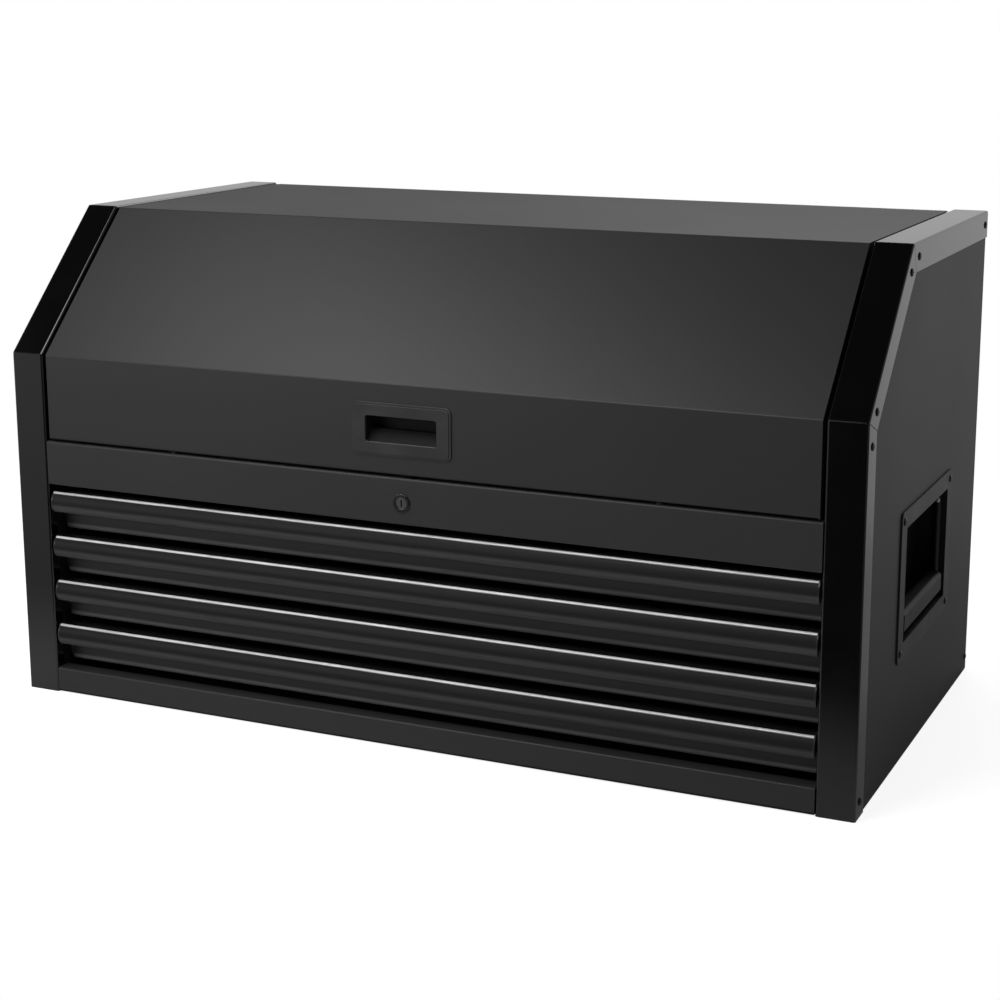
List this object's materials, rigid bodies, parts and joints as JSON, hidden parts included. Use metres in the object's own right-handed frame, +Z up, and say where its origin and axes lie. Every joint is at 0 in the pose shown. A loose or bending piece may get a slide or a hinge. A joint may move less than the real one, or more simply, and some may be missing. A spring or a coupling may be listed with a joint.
{
  "type": "machinist tool chest",
  "caption": "Wide steel tool chest with full-width drawers on ball-bearing slides, a sloping lift-up lid with a recessed pull, and swing-out side grips.",
  "frame": {"origin": "on the floor, under the middle of the case", "axes": "+X to the user's right along the case, -Y out of the drawer fronts, +Z up"},
  "size_m": [1.0452, 0.5435, 0.58],
  "materials": {
    "lid_paint": "satin dark grey powder coat",
    "case_paint": "satin grey-black powder coat",
    "inner_paint": "satin black powder coat",
    "trim_gloss": "high gloss black enamel",
    "slide_zinc": "bright zinc plated",
    "hinge_steel": "zinc plated",
    "tray_plastic": "fine grained black moulding",
    "grip_rubber": "soft black moulded grip",
    "pull_plastic": "fine grained dark grey moulding",
    "screw_black": "black oxide",
    "bumper_rubber": "matt black",
    "lock_chrome": "bright chrome",
    "strut_black": "semi gloss black",
    "rod_chrome": "polished",
    "drawer_paint": "satin dark grey powder coat",
    "pull_coat": "satin dark grey coated extrusion",
    "bright_strip": "bright polished",
    "cap_plastic": "satin dark grey moulding"
  },
  "bodies": {
    "case": {"left_side_panel": "case_paint", "right_side_panel": "case_paint", "left_inner_wall": "inner_paint", "right_inner_wall": "inner_paint", "back_panel": "case_paint", "bottom_pan": "case_paint", "till_floor": "inner_paint", "bottom_rail": "lid_paint", "lock_panel": "lid_paint", "left_column": "trim_gloss", "right_column": "trim_gloss", "left_slope_trim": "trim_gloss", "right_slope_trim": "trim_gloss", "left_top_trim": "trim_gloss", "right_top_trim": "trim_gloss", "cabinet_slides": "slide_zinc", "hinge_case_leaf": "hinge_steel", "hinge_pin": "hinge_steel", "left_handle_tray": "tray_plastic", "right_handle_tray": "tray_plastic", "case_screws": "screw_black", "lid_bumpers": "bumper_rubber", "strut_studs": "hinge_steel", "lock_barrel": "lock_chrome"},
    "lid": {"lid_panel": "lid_paint", "lid_stiffeners": "inner_paint", "lid_pull": "pull_plastic", "hinge_lid_leaf": "hinge_steel", "strut_brackets": "hinge_steel"},
    "lock": {"lock_plug": "lock_chrome"},
    "left_grip": {"left_grip": "grip_rubber"},
    "right_grip": {"right_grip": "grip_rubber"},
    "left_strut_tube": {"left_strut_tube": "strut_black"},
    "right_strut_tube": {"right_strut_tube": "strut_black"},
    "left_strut_rod": {"left_strut_rod": "rod_chrome"},
    "right_strut_rod": {"right_strut_rod": "rod_chrome"},
    "drawer_1": {"drawer_1_tray": "drawer_paint", "drawer_1_pull": "pull_coat", "drawer_1_strip": "bright_strip", "drawer_1_caps": "cap_plastic", "drawer_1_runners": "slide_zinc"},
    "carriers_1": {"slide_carriers_1": "slide_zinc"},
    "drawer_2": {"drawer_2_tray": "drawer_paint", "drawer_2_pull": "pull_coat", "drawer_2_strip": "bright_strip", "drawer_2_caps": "cap_plastic", "drawer_2_runners": "slide_zinc"},
    "carriers_2": {"slide_carriers_2": "slide_zinc"},
    "drawer_3": {"drawer_3_tray": "drawer_paint", "drawer_3_pull": "pull_coat", "drawer_3_strip": "bright_strip", "drawer_3_caps": "cap_plastic", "drawer_3_runners": "slide_zinc"},
    "carriers_3": {"slide_carriers_3": "slide_zinc"},
    "drawer_4": {"drawer_4_tray": "drawer_paint", "drawer_4_pull": "pull_coat", "drawer_4_strip": "bright_strip", "drawer_4_caps": "cap_plastic", "drawer_4_runners": "slide_zinc"},
    "carriers_4": {"slide_carriers_4": "slide_zinc"}
  },
  "joints": [
    {"name": "lid_hinge", "type": "hinge", "parent": "case", "child": "lid", "pos_m": [0, 0.2675, 0.575], "axis": [-1, 0, 0], "range_deg": [0, 75]},
    {"name": "lock_turn", "type": "hinge", "parent": "case", "child": "lock", "pos_m": [0, -0.261, 0.286], "axis": [0, 1, 0], "range_deg": [0, 90]},
    {"name": "right_grip_swing", "type": "hinge", "parent": "case", "child": "right_grip", "pos_m": [0.5108, 0.008, 0.2575], "axis": [0, -1, 0], "range_deg": [0, 90]},
    {"name": "left_grip_swing", "type": "hinge", "parent": "case", "child": "left_grip", "pos_m": [-0.5108, 0.008, 0.2575], "axis": [0, 1, 0], "range_deg": [0, 90]},
    {"name": "left_strut_tilt", "type": "hinge", "parent": "case", "child": "left_strut_tube", "pos_m": [-0.4598, 0.20626, 0.36369], "axis": [-1, 0, 0], "range_deg": [0, 37.5]},
    {"name": "left_rod_tilt", "type": "hinge", "parent": "lid", "child": "left_strut_rod", "pos_m": [-0.4598, 0.04956, 0.545], "axis": [-1, 0, 0], "range_deg": [-37.5, 0]},
    {"name": "right_strut_tilt", "type": "hinge", "parent": "case", "child": "right_strut_tube", "pos_m": [0.4598, 0.20626, 0.36369], "axis": [-1, 0, 0], "range_deg": [0, 37.5]},
    {"name": "right_rod_tilt", "type": "hinge", "parent": "lid", "child": "right_strut_rod", "pos_m": [0.4598, 0.04956, 0.545], "axis": [-1, 0, 0], "range_deg": [-37.5, 0]},
    {"name": "drawer_1_slide", "type": "slide", "parent": "case", "child": "drawer_1", "axis": [0, -1, 0], "range_m": [0, 0.43]},
    {"name": "carriers_1_slide", "type": "slide", "parent": "case", "child": "carriers_1", "axis": [0, -1, 0], "range_m": [0, 0.215]},
    {"name": "drawer_2_slide", "type": "slide", "parent": "case", "child": "drawer_2", "axis": [0, -1, 0], "range_m": [0, 0.43]},
    {"name": "carriers_2_slide", "type": "slide", "parent": "case", "child": "carriers_2", "axis": [0, -1, 0], "range_m": [0, 0.215]},
    {"name": "drawer_3_slide", "type": "slide", "parent": "case", "child": "drawer_3", "axis": [0, -1, 0], "range_m": [0, 0.43]},
    {"name": "carriers_3_slide", "type": "slide", "parent": "case", "child": "carriers_3", "axis": [0, -1, 0], "range_m": [0, 0.215]},
    {"name": "drawer_4_slide", "type": "slide", "parent": "case", "child": "drawer_4", "axis": [0, -1, 0], "range_m": [0, 0.43]},
    {"name": "carriers_4_slide", "type": "slide", "parent": "case", "child": "carriers_4", "axis": [0, -1, 0], "range_m": [0, 0.215]}
  ],
  "couplings": [
    {"joint": "left_strut_tilt", "follows": "lid_hinge", "ratio": 0.5},
    {"joint": "left_rod_tilt", "follows": "lid_hinge", "ratio": -0.5},
    {"joint": "right_strut_tilt", "follows": "lid_hinge", "ratio": 0.5},
    {"joint": "right_rod_tilt", "follows": "lid_hinge", "ratio": -0.5},
    {"joint": "carriers_1_slide", "follows": "drawer_1_slide", "ratio": 0.5},
    {"joint": "carriers_2_slide", "follows": "drawer_2_slide", "ratio": 0.5},
    {"joint": "carriers_3_slide", "follows": "drawer_3_slide", "ratio": 0.5},
    {"joint": "carriers_4_slide", "follows": "drawer_4_slide", "ratio": 0.5}
  ]
}
